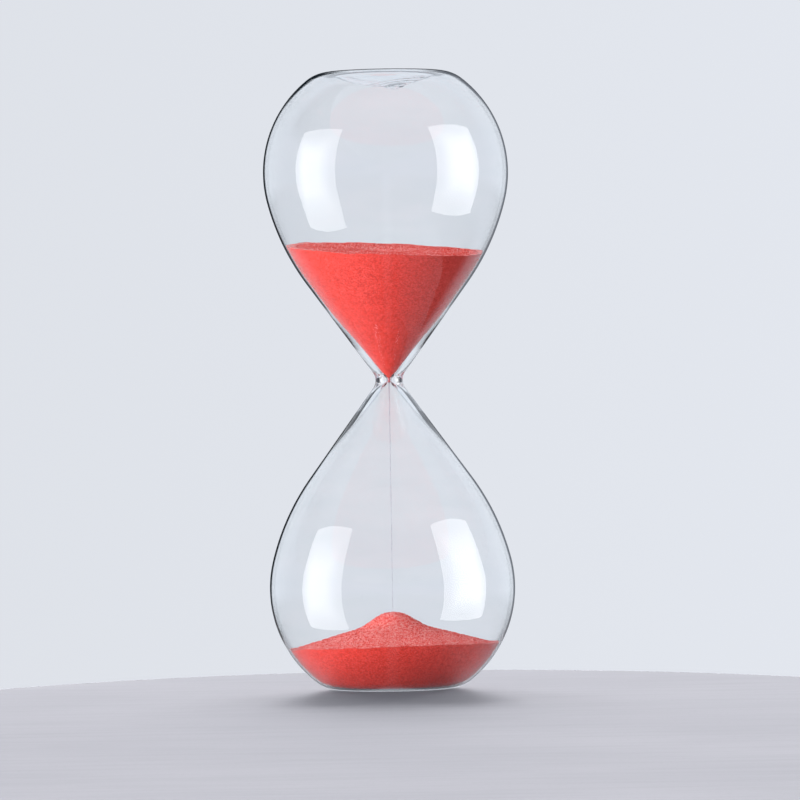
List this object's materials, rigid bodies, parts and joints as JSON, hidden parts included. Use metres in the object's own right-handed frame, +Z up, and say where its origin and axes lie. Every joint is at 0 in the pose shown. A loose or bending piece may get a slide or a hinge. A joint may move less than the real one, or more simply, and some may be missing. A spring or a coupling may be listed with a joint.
{
  "type": "hourglass",
  "caption": "Frameless blown-glass hourglass: mirrored teardrop bulbs fused at a thick throat, dished ring ends, red sand running to a heap.",
  "frame": {"origin": "centre of the ring that the hourglass stands on, at table height", "axes": "+Z up along the axis of both bulbs; -Y is the side that faces the viewer, +X is to the viewer's right"},
  "size_m": [0.0636, 0.0636, 0.16],
  "materials": {
    "glass": "gloss",
    "throat_glass": "gloss",
    "seal_glass": "gloss",
    "sand": "matte",
    "falling_sand": "matte"
  },
  "bodies": {
    "root": {"upper_bulb": "glass", "neck_throat": "throat_glass", "lower_bulb": "glass", "upper_end_seal": "seal_glass", "lower_end_seal": "seal_glass", "upper_sand": "sand", "sand_stream": "falling_sand", "lower_sand": "sand"}
  },
  "joints": []
}
